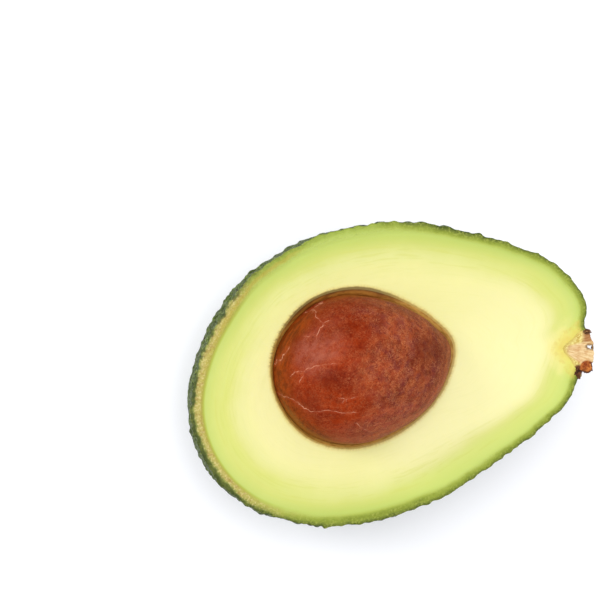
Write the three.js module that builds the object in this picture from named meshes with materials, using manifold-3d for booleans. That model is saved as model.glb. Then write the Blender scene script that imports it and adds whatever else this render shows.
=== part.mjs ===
// Half an avocado, cut lengthwise, lying on its back with the whole seed in its hollow.
//
// Four pieces: the pebbled skin (a thin open shell), the flesh inside it (with the
// hollow that the seed sits in), the seed, and the short woody stem stub, cut in half
// with the fruit. Millimetres, +Z up. +X points from the blunt end to the stem. The cut
// face is level, and the origin is the middle of the small flat spot it rests on.
//
// The fruit and the seed are each one closed form round their own centre: a radius for
// each direction, read from an outline in the cut plane and turned round the long axis.

import * as THREE from "three";
import { mergeVertices } from "three/addons/utils/BufferGeometryUtils.js";
import Module from "manifold-3d";

const wasm = await Module();
wasm.setup();

// ---- Driving dimensions, in millimetres and degrees -------------------------------

// Outline of the fruit in the cut plane: distance from its centre to the skin every 15
// degrees, anticlockwise from the stem end (+X) through +Y and the blunt end (-X).
const FRUIT_OUTLINE = [
  54.6, 53.3, 46.1, 40.6, 37.8, 36.4, // stem end
  35.9, 36.8, 38.1, 40.7, 42.9, 46, // +Y side
  48.7, 48.8, 46.5, 42.4, 38.8, 36, // blunt end
  34.5, 34.2, 35, 37.9, 43.9, 50.5, // -Y side
];

// Outlines of the seed and of its hollow's rim in the cut plane, read the same way
// round the seed's centre, every 20 degrees. Their pointed end is the one nearest the
// stem. Below the rim the hollow closes in on the seed.
const SEED_CENTRE = new THREE.Vector2(-4.8, 2.9);
const SEED_OUTLINE = [
  22.2, 19.3, 17.3, 16.5, 16.8, 17.9, 19.3, 20.6, 22.2,
  22.8, 22.3, 21.4, 20, 18.6, 17.8, 18, 19.2, 20.7,
];
const RIM_OUTLINE = [
  23.7, 21, 18.9, 18.3, 18.7, 19.5, 20.8, 21.9, 23.1,
  23.4, 23.1, 22.4, 21.1, 19.8, 19.1, 19.2, 20.4, 22.1,
];
const RIM_CLOSES_AT_DEG = 5; // below the cut, seen from the seed's centre

const SKIN_AT_BLUNT_END = 2.2; // skin thickness
const SKIN_AT_STEM_END = 1.5;
const SEAT_GAP = 0.3; // between pieces that lie against each other

const PEBBLE_SPACING = 4.6; // bumps of the skin
const PEBBLE_HEIGHT = 0.8;
const CREASE_STEEPNESS = 2.4; // how quickly a bump falls away to the creases round it

const REST_SPOT_DEPTH = 0.7; // how much the small flat spot takes off the round back
const REST_SPOT_SMOOTH = [9, 15]; // pebbles are worn off inside, and full outside

// The stem stub: where its axis meets the skin, where it points, and its half-section
// as [radius, distance along the axis], from the root in the flesh to the broken end.
const STEM_NECK = new THREE.Vector2(50.3, -5.6);
const STEM_AXIS_DEG = -18;
const STEM_PROFILE = [
  [0, -3.7], [0.8, -3.3], [1.6, -2.4], [2.6, -1.3], [4, -0.3], [4.8, 0.6],
  [5.2, 1.8], [5.3, 3], [4.9, 3.9], [3.6, 4.3], [2.2, 4.8], [0, 4.6],
];
const STEM_LOBES = 7; // rough lobes of the broken end
const STEM_LOBE_HEIGHT = 0.35;

// How finely each form is divided: rows of triangles along a quarter turn.
const SKIN_ROWS = 40;
const FLESH_ROWS = 20;
const SEED_ROWS = 18;
const STEM_SIDES = 28;

const SKIN_COLOUR = 0x3f5e2c;
const FLESH_COLOUR = 0xe6e58c;
const SEED_COLOUR = 0x8f3a20;
const STEM_COLOUR = 0xb98755;

// ---- Forms ------------------------------------------------------------------------

// The radius of a closed outline at an angle in radians, on a smooth curve through
// evenly spaced stations.
function outlineRadius(stations, angle) {
  const count = stations.length;
  const place = (angle / (2 * Math.PI)) * count;
  const first = Math.floor(place);
  const t = place - first;
  const [a, b, c, d] = [-1, 0, 1, 2].map(
    (step) => stations[(((first + step) % count) + count) % count],
  );
  const bend = (2 * a - 5 * b + 4 * c - d) * t * t + (3 * b - a - 3 * c + d) * t ** 3;
  return b + ((c - a) * t + bend) / 2;
}

// The outline turned round the long axis: between its +Y and -Y sides the radius goes
// smoothly from the one to the other.
function turnedRadius(stations, direction) {
  const fromStem = Math.acos(THREE.MathUtils.clamp(direction.x, -1, 1));
  const across = Math.hypot(direction.y, direction.z);
  const side = across > 1e-9 ? direction.y / across : 0;
  return (
    (outlineRadius(stations, fromStem) * (1 + side)) / 2 +
    (outlineRadius(stations, -fromStem) * (1 - side)) / 2
  );
}

// A closed geometry whose point in each direction is given by a function. Its rows are
// evenly spaced, and one ring of its points lies exactly in the plane z = 0.
function roundForm(rows, pointAt) {
  const geometry = new THREE.OctahedronGeometry(1, rows - 1);
  const position = geometry.getAttribute("position");
  const direction = new THREE.Vector3();
  for (let i = 0; i < position.count; i++) {
    direction.fromBufferAttribute(position, i);
    const sum =
      Math.abs(direction.x) + Math.abs(direction.y) + Math.abs(direction.z);
    for (const axis of ["x", "y", "z"])
      direction[axis] = Math.sin((direction[axis] / sum) * (Math.PI / 2));
    const point = pointAt(direction.normalize());
    position.setXYZ(i, point.x, point.y, point.z);
  }
  return geometry;
}

// The deepest the skin reaches below the cut plane, and where.
function lowestPoint() {
  const lowest = new THREE.Vector3();
  const point = new THREE.Vector3();
  for (let fromStem = 1; fromStem < 180; fromStem++)
    for (let side = -10; side <= 10; side += 0.5) {
      const [polar, tilt] = [fromStem, side].map(THREE.MathUtils.degToRad);
      point.set(
        Math.cos(polar),
        Math.sin(polar) * Math.sin(tilt),
        -Math.sin(polar) * Math.cos(tilt),
      );
      point.multiplyScalar(turnedRadius(FRUIT_OUTLINE, point));
      if (point.z < lowest.z) lowest.copy(point);
    }
  return lowest;
}
const restSpot = lowestPoint();

// A repeatable number from 0 to 1 for each cell of a grid.
function cellNumber(x, y, z, salt) {
  const wave = Math.sin(x * 127.1 + y * 311.7 + z * 74.7 + salt * 53.3) * 43758.5453;
  return wave - Math.floor(wave);
}

// The skin's pebbles: one bump round a scattered middle in each cell of a grid, from
// -0.5 in the creases to 0.5 on top, worn away round the rest spot.
function pebble(point) {
  const cell = [point.x, point.y, point.z].map((value) =>
    Math.floor(value / PEBBLE_SPACING),
  );
  let nearest = Infinity;
  for (let i = -1; i <= 1; i++)
    for (let j = -1; j <= 1; j++)
      for (let k = -1; k <= 1; k++) {
        const [x, y, z] = [cell[0] + i, cell[1] + j, cell[2] + k];
        const middle = new THREE.Vector3(
          x + cellNumber(x, y, z, 1),
          y + cellNumber(x, y, z, 2),
          z + cellNumber(x, y, z, 3),
        ).multiplyScalar(PEBBLE_SPACING);
        nearest = Math.min(nearest, middle.distanceTo(point));
      }
  const bump = 0.5 - Math.min(1, (nearest / PEBBLE_SPACING) ** 2 * CREASE_STEEPNESS);
  const away = point.distanceTo(restSpot);
  return bump * THREE.MathUtils.smoothstep(away, ...REST_SPOT_SMOOTH);
}

// ---- Solids -----------------------------------------------------------------------

function solidOf(geometry) {
  const bare = geometry.index ? geometry.toNonIndexed() : geometry;
  for (const name of Object.keys(bare.attributes))
    if (name !== "position") bare.deleteAttribute(name);
  const merged = mergeVertices(bare, 1e-4);
  return new wasm.Manifold(
    new wasm.Mesh({
      numProp: 3,
      vertProperties: new Float32Array(merged.getAttribute("position").array),
      triVerts: new Uint32Array(merged.index.array),
    }),
  );
}

const belowCut = (solid) => solid.trimByPlane([0, 0, -1], 0);

// The fruit's form, whole, drawn in by some depth under the skin.
const fruitForm = (rows, inset, relief = () => 0) =>
  roundForm(rows, (direction) => {
    const surface = turnedRadius(FRUIT_OUTLINE, direction);
    const point = direction.clone().multiplyScalar(surface);
    const radius = surface - inset(direction) + relief(point);
    return direction.clone().multiplyScalar(radius);
  });

const skinThickness = (direction) =>
  THREE.MathUtils.lerp(SKIN_AT_BLUNT_END, SKIN_AT_STEM_END, (direction.x + 1) / 2);

// A form round the seed's centre, from its radius in each direction.
const formRoundSeed = (radiusAt) =>
  roundForm(SEED_ROWS, (direction) =>
    direction
      .clone()
      .multiplyScalar(radiusAt(direction))
      .add(new THREE.Vector3(SEED_CENTRE.x, SEED_CENTRE.y, 0)),
  );

const seedRadius = (direction) => turnedRadius(SEED_OUTLINE, direction);

// The hollow is as wide as its rim at the cut, and closes on the seed just below it, in
// a shallow dished shelf.
function hollowRadius(direction) {
  const below = THREE.MathUtils.radToDeg(Math.asin(Math.abs(direction.z)));
  const open = (1 - Math.min(1, below / RIM_CLOSES_AT_DEG)) ** 2;
  const rim = turnedRadius(RIM_OUTLINE, direction);
  return THREE.MathUtils.lerp(seedRadius(direction) + SEAT_GAP, rim, open);
}

// The stem stub, turned round its axis with a lobed, broken end, and grown by a margin.
function stemForm(margin) {
  const profile = STEM_PROFILE.map(
    ([radius, along], i) =>
      new THREE.Vector2(
        i === 0 || i === STEM_PROFILE.length - 1 ? 0 : radius + margin,
        along + (i === 0 ? -margin : 0),
      ),
  );
  const geometry = new THREE.LatheGeometry(profile, STEM_SIDES);
  const position = geometry.getAttribute("position");
  for (let i = 0; i < position.count; i++) {
    const along = position.getY(i);
    const around = Math.atan2(position.getZ(i), position.getX(i));
    const rough = THREE.MathUtils.smoothstep(along, 1, 4) * STEM_LOBE_HEIGHT;
    const lobe = Math.sin(around * STEM_LOBES) + Math.cos(around * 3 + 1);
    const radius = Math.hypot(position.getX(i), position.getZ(i));
    const grown = radius < 1e-6 ? 0 : 1 + (rough * lobe) / (2 * radius);
    position.setX(i, position.getX(i) * grown);
    position.setZ(i, position.getZ(i) * grown);
  }
  return geometry
    .rotateZ(THREE.MathUtils.degToRad(STEM_AXIS_DEG - 90))
    .translate(STEM_NECK.x, STEM_NECK.y, 0);
}

const stemHole = solidOf(stemForm(SEAT_GAP));

function makeSkin() {
  const outside = solidOf(
    fruitForm(SKIN_ROWS, () => 0, (point) => pebble(point) * PEBBLE_HEIGHT),
  );
  const inside = solidOf(fruitForm(FLESH_ROWS, skinThickness));
  return belowCut(outside)
    .trimByPlane([0, 0, 1], restSpot.z + REST_SPOT_DEPTH)
    .subtract(inside)
    .subtract(stemHole);
}

function makeFlesh() {
  const inside = solidOf(
    fruitForm(FLESH_ROWS, (direction) => skinThickness(direction) + SEAT_GAP),
  );
  const hollow = solidOf(formRoundSeed(hollowRadius));
  return belowCut(inside).subtract(hollow).subtract(stemHole);
}

const makeSeed = () => solidOf(formRoundSeed(seedRadius));
const makeStem = () => belowCut(solidOf(stemForm(0)));

// ---- Scene graph ------------------------------------------------------------------

function meshOf(name, solid, colour, roughness) {
  const { numProp, numVert, vertProperties, triVerts } = solid.getMesh();
  const points = new Float32Array(numVert * 3);
  for (let i = 0; i < numVert; i++)
    points.set(vertProperties.subarray(i * numProp, i * numProp + 3), i * 3);
  const geometry = new THREE.BufferGeometry()
    .setAttribute("position", new THREE.BufferAttribute(points, 3))
    .setIndex(new THREE.BufferAttribute(new Uint32Array(triVerts), 1));
  geometry.computeVertexNormals();
  const material = new THREE.MeshStandardMaterial({
    color: colour,
    roughness,
    metalness: 0,
    flatShading: true,
  });
  const mesh = new THREE.Mesh(geometry, material);
  mesh.name = name;
  return mesh;
}

// The fruit is modelled round its own centre, and set down on its rest spot.
const avocado = new THREE.Group();
avocado.add(
  meshOf("skin", makeSkin(), SKIN_COLOUR, 0.5),
  meshOf("flesh", makeFlesh(), FLESH_COLOUR, 0.45),
  meshOf("seed", makeSeed(), SEED_COLOUR, 0.35),
  meshOf("stem_stub", makeStem(), STEM_COLOUR, 0.85),
);
avocado.position.set(-restSpot.x, -restSpot.y, -restSpot.z - REST_SPOT_DEPTH);

export default avocado;
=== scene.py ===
"""Half an avocado with its seed: the finished surfaces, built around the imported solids.

The skin, flesh, seed and stem stub are each made finer than their solid, on the same
form: a distance from a centre for each direction, read from an outline in the cut plane
and turned round the long axis. Those outlines are in millimetres, in the fruit's own
frame: origin at its centre in the cut plane, +X towards the stem, +Z out of the cut.
"""

import math

import bpy
import numpy as np
from mathutils import Matrix, Vector, noise


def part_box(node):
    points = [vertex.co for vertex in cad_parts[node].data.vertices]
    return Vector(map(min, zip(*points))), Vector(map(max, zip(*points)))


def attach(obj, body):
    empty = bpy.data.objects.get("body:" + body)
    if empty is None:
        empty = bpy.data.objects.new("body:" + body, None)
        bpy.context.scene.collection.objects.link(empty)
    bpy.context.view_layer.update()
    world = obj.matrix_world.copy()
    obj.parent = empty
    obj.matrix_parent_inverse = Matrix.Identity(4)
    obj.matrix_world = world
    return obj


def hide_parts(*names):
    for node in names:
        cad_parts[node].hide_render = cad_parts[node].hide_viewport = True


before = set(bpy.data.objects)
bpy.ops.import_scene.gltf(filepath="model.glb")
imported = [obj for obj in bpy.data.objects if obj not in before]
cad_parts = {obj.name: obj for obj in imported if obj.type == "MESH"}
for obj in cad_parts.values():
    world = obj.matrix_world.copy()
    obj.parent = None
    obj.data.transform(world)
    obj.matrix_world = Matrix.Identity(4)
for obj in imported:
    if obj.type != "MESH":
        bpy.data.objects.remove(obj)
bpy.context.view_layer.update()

MM = 0.001

# ---- The forms, as the solids have them --------------------------------------------

FRUIT_OUTLINE = [
    54.6, 53.3, 46.1, 40.6, 37.8, 36.4,  # stem end
    35.9, 36.8, 38.1, 40.7, 42.9, 46,  # +Y side
    48.7, 48.8, 46.5, 42.4, 38.8, 36,  # blunt end
    34.5, 34.2, 35, 37.9, 43.9, 50.5,  # -Y side
]
SHOULDERS = (  # beside the stem: degrees round in the cut, degrees of reach, swell
    (-21, 8.5, 1.0), (7, 7, 0.9), (0, 3.6, -0.9),
)
SEED_CENTRE = np.array((-4.8, 2.9, 0.0))
SEED_OUTLINE = [
    22.2, 19.3, 17.3, 16.5, 16.8, 17.9, 19.3, 20.6, 22.2,
    22.8, 22.3, 21.4, 20, 18.6, 17.8, 18, 19.2, 20.7,
]
RIM_OUTLINE = [  # of the hollow, round the seed's centre
    23.7, 21, 18.9, 18.3, 18.7, 19.5, 20.8, 21.9, 23.1,
    23.4, 23.1, 22.4, 21.1, 19.8, 19.1, 19.2, 20.4, 22.1,
]
SKIN_AT_BLUNT_END = 2.2
SKIN_AT_STEM_END = 1.5
RIM_CLOSES_AT = 2.0  # degrees below the cut, seen from the seed's centre
SEED_SEAT = -0.08  # past the seed's coat, so that no dark gap shows round it

STEM_NECK = np.array((50.3, -5.6, 0.0))
STEM_AXIS = math.radians(-18)
STEM_PROFILE = [  # radius and distance along the axis, from the root to the broken end
    (0, -3.7), (0.8, -3.3), (1.6, -2.4), (2.6, -1.3), (4, -0.3), (4.8, 0.6),
    (5.2, 1.8), (5.3, 3), (4.9, 3.9), (3.6, 4.3), (2.2, 4.8), (0, 4.6),
]
STEM_GAP = 0.004  # between the stub and the pocket cut for it
# Lumps of torn wood and bark on the stub's own axis: centre and half sizes.
NUB = ((3.4, -4.1, -0.5), (1.5, 1.35, 1.3))
TOP_BARK = ((2.4, 4.8, -0.9), (1.2, 0.7, 1.5))
LOW_BARK = ((1.1, -5.7, -1.3), (1.2, 1.6, 2.0))
# The split between the wood and the bark: places along and across the stub's axis.
SPLIT_FROM = (2.9, 1.2)
SPLIT_TO = (4.2, 1.05)
SPLIT_HALF_WIDTHS = (0.22, 0.5)
SPLIT_HALF_DEPTH = 9
SPLIT_LEAN = 0.27  # towards the broken end, going down

# Round the cut's edge, every 15 degrees from the stem end towards +Y.
SHIFT_BY_DIRECTION = [  # how much sooner the colours come, going in from the edge
    0.1, 0.1, 0, -0.2, -0.1, 0.5, 0.9, 0.8, 0.55, 0.4, 0.2, 0.05,
    -0.5, -0.75, -0.35, 0, 0, 0, 0, 0.1, 0.15, 0.1, 0.1, 0.1,
]
BANDED_BY_DIRECTION = [  # 1 where the flesh keeps a lime band inside the rind
    1, 1, 0.5, 0.2, 0, 0, 0, 0, 0, 0, 0.3, 0.8,
    1, 1, 0.9, 0.5, 0.2, 0.1, 0.2, 0.2, 0.4, 1, 1, 1,
]

# ---- How finely each piece is divided ----------------------------------------------

FINER = 8  # parts that each edge of a coarse ball is divided into
COLUMNS = 600  # round the fruit, shared by skin and flesh
OUTSIDE_ROWS = 120
SKIN_BACK_ROWS = 16
CUT_EDGE_ROWS = 9
FLESH_BACK_ROWS = 16
HOLLOW_ROWS = 56
HOLLOW_CROWDING = 2.2
FACE_ROWS = 76
SEED_CUTS = 119  # across each side of the cube that the seed starts from
SMOOTH_BELOW = math.radians(50)  # edges sharper than this stay sharp

# ---- Small relief, in millimetres --------------------------------------------------

PEBBLE_SPACING = 2.3
PEBBLE_HEIGHT = 0.7
PEBBLE_SEED = 7
WRINKLE_SPACING = 1.7
WRINKLE_HEIGHT = 0.3
LUMP_SPACING = 5.5
LUMP_HEIGHT = 0.35
BULGE = 0.6  # of the blunt end's wall, just below the cut
REST_SPOT_SMOOTH = (9.0, 15.0)
CRACK_WIDTH = 0.085
CRACK_DEPTH = 0.1
FAR_AWAY = 99.0

# ---- Marks on the seed's dry coat, and painted sheen and shade, from the seed's centre ---

# The centre of the painted sheen, a soft highlight painted on the coat's upper left.
SHEEN_AT = np.array((-13.6, 7.4, 12.6))
SMUDGES_AND_SHADE = [  # centre, reach and how dark: dark smudges, and one broad painted shade over the right side
    ((-13.3, -0.5, 15.2), 4.2, 0.4), ((-17.5, -4.5, 11.5), 5.0, 0.3),
    ((6.8, -0.8, 15.7), 1.3, 0.5), ((12.6, 1.5, 12.8), 8.0, 0.5),
    ((10.7, -3.9, 13.5), 1.7, 0.5), ((9.2, -5.2, 13.5), 1.2, 0.4),
    ((-12.0, -5.5, 15.0), 1.3, 0.4), ((13.0, 2.4, 12.0), 1.6, 0.5),
]
SEED_CRACKS = [  # each a line seen from above
    [(-7.4, 17.3), (-9, 16.9), (-10.6, 16), (-11.3, 14.4), (-10.9, 12.8), (-12.2, 11.3),
     (-13.2, 10.2)],
    [(-10.6, 16), (-11.8, 15.8), (-12.6, 15.6)],
    [(-10.9, 12.8), (-10, 13), (-9.4, 13.1)],
    [(-19.1, 8.6), (-20.3, 7.1), (-21.4, 5.8), (-22, 5)],
    [(-15.1, 10.4), (-13.8, 10.8)],
    [(-20.3, 2.4), (-19.6, 3.1), (-18, 2.8), (-17.2, 3.2), (-15.3, 3.7), (-13.6, 3.5),
     (-11.5, 3.4)],
    [(-18, 2.8), (-18.5, 1.8), (-19.2, 0.6)],
    [(-22.6, -2), (-21.7, -3.1), (-20.9, -3.4), (-19.8, -5.3), (-18.1, -6.8), (-15.7, -7.2)],
    [(-15.7, -7.2), (-14.3, -7.3), (-11.9, -8.5), (-8.6, -8.9)],
    [(-11.9, -4.7), (-10.7, -5.2), (-8.5, -5.1)],
    [(-10.7, -5.2), (-11.6, -5.9)],
    [(-8.6, -11.6), (-7.4, -13), (-6, -14.1)],
]


# ---- Form functions ----------------------------------------------------------------

def smoothstep(value, low, high):
    """0 at low, 1 at high, and a smooth step between; low may be above high."""
    share = np.clip((value - low) / (high - low), 0, 1)
    return share * share * (3 - 2 * share)


def unit(rows):
    return rows / np.maximum(np.linalg.norm(rows, axis=1), 1e-12)[:, None]


def turn_of(points):
    """Radians round the cut from the stem end's direction."""
    return np.arctan2(points[:, 1], points[:, 0])


def round_from(points, degrees):
    """How many degrees round the cut a point is from a direction."""
    return np.abs((np.degrees(turn_of(points)) - degrees + 180) % 360 - 180)


def outline_radius(stations, angle):
    """Distance from the centre to a smooth closed outline, at angles in radians."""
    stations = np.array(stations, float)
    place = np.asarray(angle) / math.tau * len(stations)
    first = np.floor(place).astype(int)
    t = place - first
    a, b, c, d = (stations[(first + step) % len(stations)] for step in (-1, 0, 1, 2))
    bend = (2 * a - 5 * b + 4 * c - d) * t**2 + (3 * b - a - 3 * c + d) * t**3
    return b + ((c - a) * t + bend) / 2


def turned_radius(stations, directions):
    """The outline turned round the long axis, for rows of unit directions."""
    from_stem_end = np.arccos(np.clip(directions[:, 0], -1, 1))
    across = np.hypot(directions[:, 1], directions[:, 2])
    side = directions[:, 1] / np.maximum(across, 1e-9)
    return (
        outline_radius(stations, from_stem_end) * (1 + side)
        + outline_radius(stations, -from_stem_end) * (1 - side)
    ) / 2


def skin_thickness(directions):
    share = (directions[:, 0] + 1) / 2
    return SKIN_AT_BLUNT_END + (SKIN_AT_STEM_END - SKIN_AT_BLUNT_END) * share


def fruit_radius(directions):
    """The outline turned round, with the small swells and the notch beside the stem."""
    radius = turned_radius(FRUIT_OUTLINE, directions)
    for turn, reach, swell in SHOULDERS:
        toward = (math.cos(math.radians(turn)), math.sin(math.radians(turn)), 0)
        off = np.degrees(np.arccos(np.clip(directions @ np.array(toward), -1, 1)))
        radius = radius + swell * smoothstep(off, reach, 0)
    return radius


def under_skin_radius(directions):
    return fruit_radius(directions) - skin_thickness(directions)


def seed_radius(directions):
    return turned_radius(SEED_OUTLINE, directions)


def hollow_radius(directions):
    """The hollow closes on the seed just below its rim, in a shallow dished shelf."""
    below = np.degrees(np.arcsin(np.abs(directions[:, 2])))
    open_share = (1 - np.clip(below / RIM_CLOSES_AT, 0, 1)) ** 2
    seat = seed_radius(directions) + SEED_SEAT
    return seat + (turned_radius(RIM_OUTLINE, directions) - seat) * open_share


def edge_depth(points):
    """How far in from the even outside form a point is, in millimetres."""
    return fruit_radius(unit(points)) - np.linalg.norm(points, axis=1)


def fruit_centre():
    """The fruit's centre in the row frame, in millimetres, found from the seed's box."""
    turn = np.radians(np.arange(0, 360, 0.5))
    radius = outline_radius(SEED_OUTLINE, turn)
    low = np.array((
        (SEED_CENTRE[0] + radius * np.cos(turn)).min(),
        (SEED_CENTRE[1] + radius * np.sin(turn)).min(),
        0.0,
    ))
    seed_low = np.array(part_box("seed")[0]) / MM
    cut_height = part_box("flesh")[1].z / MM
    return np.array((seed_low[0], seed_low[1], cut_height)) - low


FRUIT_CENTRE = fruit_centre()
REST_SPOT = -FRUIT_CENTRE


# ---- Modelling helpers -------------------------------------------------------------

def start_piece(name, add_primitive, **settings):
    """Adds a primitive with nothing else selected, and names it."""
    bpy.ops.object.select_all(action="DESELECT")
    add_primitive(**settings)
    piece = bpy.context.object
    piece.name = name
    piece.data.name = name
    return piece


def select_only(*pieces):
    """Selects these pieces and no others, with the last one active."""
    bpy.ops.object.select_all(action="DESELECT")
    for piece in pieces:
        piece.select_set(True)
    bpy.context.view_layer.objects.active = pieces[-1]


def edit(piece, *steps, select="SELECT"):
    """Runs steps in edit mode on one piece, each with all of it selected, or none."""
    select_only(piece)
    bpy.ops.object.mode_set(mode="EDIT")
    for step in steps:
        bpy.ops.mesh.select_all(action=select)
        step()
    bpy.ops.object.mode_set(mode="OBJECT")


def points_of(piece):
    """The piece's points in the fruit's frame, in millimetres, one row each."""
    flat = np.empty(len(piece.data.vertices) * 3)
    piece.data.vertices.foreach_get("co", flat)
    return flat.reshape(-1, 3)


def set_points(piece, points):
    piece.data.vertices.foreach_set("co", np.asarray(points, float).ravel())
    piece.data.update()


def faces_of(piece, what):
    """The centre or the normal of each face, one row each."""
    flat = np.empty(len(piece.data.polygons) * 3)
    piece.data.polygons.foreach_get(what, flat)
    return flat.reshape(-1, 3)


def keep(piece, **values):
    """Stores a number or a row of three for each point, for the material to read."""
    for name, rows in values.items():
        rows = np.asarray(rows, np.float32)
        kind, field = ("FLOAT", "value") if rows.ndim == 1 else ("FLOAT_VECTOR", "vector")
        layer = piece.data.attributes.new(name, kind, "POINT")
        layer.data.foreach_set(field, rows.ravel())


def paint(piece, materials, choose=None):
    """Gives a piece its materials; choose says which one each face takes."""
    piece.data.materials.clear()
    for material in materials:
        piece.data.materials.append(material)
    if choose is not None:
        piece.data.polygons.foreach_set("material_index", np.asarray(choose, np.int32))


def noise_at(rows, spacing, seed=0.0):
    """Smooth noise from -1 to 1 at each row of millimetres."""
    offset = Vector((seed, seed * 1.7, -seed))
    return np.array([noise.noise(Vector(row) / spacing + offset) for row in rows])


def add_bowl(name, rows, radius_at, centre, crowding=1.0):
    """The half below the cut of a form round a centre: a ball cut through, divided, shaped.

    A crowding above 1 draws the rows of points together towards the rim."""
    bowl = start_piece(
        name, bpy.ops.mesh.primitive_uv_sphere_add,
        segments=COLUMNS // FINER, ring_count=2 * rows // FINER, radius=1,
    )

    def cut_through():
        bpy.ops.mesh.bisect(
            plane_co=(0, 0, 0), plane_no=(0, 0, 1), clear_outer=True, threshold=1e-4
        )

    def divide():
        bpy.ops.mesh.subdivide(number_cuts=FINER - 1)

    edit(bowl, cut_through, divide)
    directions = unit(points_of(bowl))
    turn = turn_of(directions)
    below = np.arcsin(np.clip(-directions[:, 2], 0, 1)) / (math.pi / 2)
    below = below**crowding * (math.pi / 2)
    directions = np.stack(
        (np.cos(turn) * np.cos(below), np.sin(turn) * np.cos(below), -np.sin(below)), axis=1
    )
    set_points(bowl, directions * radius_at(directions)[:, None] + centre)
    return bowl


def join(main, other):
    select_only(other, main)
    bpy.ops.object.join()
    return main


def bridge_rims(piece, cuts):
    """Joins a piece's two open rims with a strip of faces, cut into rows."""

    def bridge():
        bpy.ops.mesh.select_mode(type="EDGE")
        bpy.ops.mesh.select_non_manifold(
            extend=False, use_wire=False, use_boundary=True, use_multi_face=False,
            use_non_contiguous=False, use_verts=False,
        )
        bpy.ops.mesh.bridge_edge_loops(number_cuts=cuts, interpolation="LINEAR")

    def face_outwards():
        bpy.ops.mesh.select_mode(type="FACE")
        bpy.ops.mesh.select_all(action="SELECT")
        bpy.ops.mesh.normals_make_consistent(inside=False)

    edit(piece, bridge, face_outwards, select="DESELECT")


def combine(piece, tool, operation):
    """Cuts the tool's form out of the piece, or adds it, and removes the tool."""
    modifier = piece.modifiers.new("combine", "BOOLEAN")
    modifier.operation = operation
    modifier.object = tool
    modifier.solver = "MANIFOLD"
    bpy.context.view_layer.objects.active = piece
    bpy.ops.object.modifier_apply(modifier=modifier.name)
    bpy.data.objects.remove(tool)


def place(piece, body="root"):
    """Moves a piece's points from the fruit's frame to the row frame, in metres."""
    set_points(piece, (points_of(piece) + FRUIT_CENTRE) * MM)
    select_only(piece)
    bpy.ops.object.shade_smooth_by_angle(angle=SMOOTH_BELOW)
    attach(piece, body)


# ---- Skin --------------------------------------------------------------------------

def pebbles(rows):
    """The skin's small round bumps at each row: 0 between them, 1 on top."""
    noise.seed_set(PEBBLE_SEED)  # without it, noise_vector starts from the clock
    off_top = []
    for row in rows:
        spot = Vector((row[0] * 0.75, row[1], row[2])) / PEBBLE_SPACING
        spot += noise.noise_vector(spot * 0.8) * 0.4
        near, _ = noise.voronoi(spot)
        off_top.append(near[0])
    return smoothstep(np.array(off_top), 0.62, 0.12)


def skin_relief(rows):
    """How far the skin stands out or in from its even form, and its bumps."""
    strength = 0.6 + 0.7 * noise_at(rows, 9.0, seed=3.0)
    bumps = pebbles(rows) * np.clip(strength, 0.25, 1)
    wrinkles = 1 - 2 * np.abs(noise_at(rows * (0.55, 1, 1), WRINKLE_SPACING, seed=8.0))
    lumps = noise_at(rows, LUMP_SPACING, seed=5.0)
    height = (bumps - 0.25) * PEBBLE_HEIGHT + wrinkles * WRINKLE_HEIGHT + lumps * LUMP_HEIGHT
    worn = smoothstep(np.linalg.norm(rows - REST_SPOT, axis=1), *REST_SPOT_SMOOTH)
    below = np.degrees(np.arcsin(np.clip(-unit(rows)[:, 2], 0, 1)))
    bulge = smoothstep(below, 1, 8) * smoothstep(below, 40, 18)
    bulge *= smoothstep(round_from(rows, 165), 90, 50)
    return height * worn + BULGE * bulge, bumps * worn


def make_skin():
    outside = add_bowl("rind", OUTSIDE_ROWS, fruit_radius, 0)
    base = points_of(outside)
    height, bumps = skin_relief(base)
    keep(outside, bump=bumps, through=np.zeros(len(base)))
    shaped = base + unit(base) * height[:, None]
    shaped[:, 2] = np.maximum(shaped[:, 2], REST_SPOT[2])
    set_points(outside, shaped)

    back = add_bowl("rind_back", SKIN_BACK_ROWS, under_skin_radius, 0)
    count = len(back.data.vertices)
    keep(back, bump=np.full(count, 0.5), through=np.ones(count))
    edit(back, bpy.ops.mesh.flip_normals)
    skin = join(outside, back)
    bridge_rims(skin, CUT_EDGE_ROWS - 1)
    roughen_cut_edge(skin)
    combine(skin, add_stem_form("stem_cutter", STEM_GAP), "DIFFERENCE")
    finish_skin(skin)
    return skin


def roughen_cut_edge(skin):
    """A soft, slightly torn edge where the knife went through the skin."""
    points = points_of(skin)
    on_edge = points[:, 2] > -1e-4
    depth = edge_depth(points)
    lift = 0.10 * noise_at(points, 0.9, seed=2.0) * smoothstep(depth, 0, 0.4)
    lift -= 0.18 * (1 - smoothstep(depth, -0.1, 0.3))
    points[on_edge, 2] += lift[on_edge]
    set_points(skin, points)


def corkiness(points):
    """Where the cut rind is dry and corky: the blunt end, mostly its +Y side."""
    patchy = 7 * noise_at(points, 6.0, seed=41.0) + 4 * noise_at(points, 2.0, seed=43.0)
    return smoothstep(round_from(points, 177) + patchy, 55, 20)


def keep_cut_values(piece, points):
    """Stores what the cut face's colours change with, besides the depth from its edge."""
    shift = outline_radius(SHIFT_BY_DIRECTION, turn_of(points))
    keep(
        piece,
        cork=corkiness(points),
        sooner=shift + 0.3 * noise_at(points, 3.5, seed=45.0),
        late=0.6 * smoothstep(round_from(points, 258), 34, 14),
        ochre=smoothstep(round_from(points, 136), 30, 14),
        banded=outline_radius(BANDED_BY_DIRECTION, turn_of(points)),
        # painted light: flesh lighter towards the lower right, partly its own paler tone
        pale=smoothstep(round_from(points, 315), 80, 25),
        from_stem=from_stem(points),
    )


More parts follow.
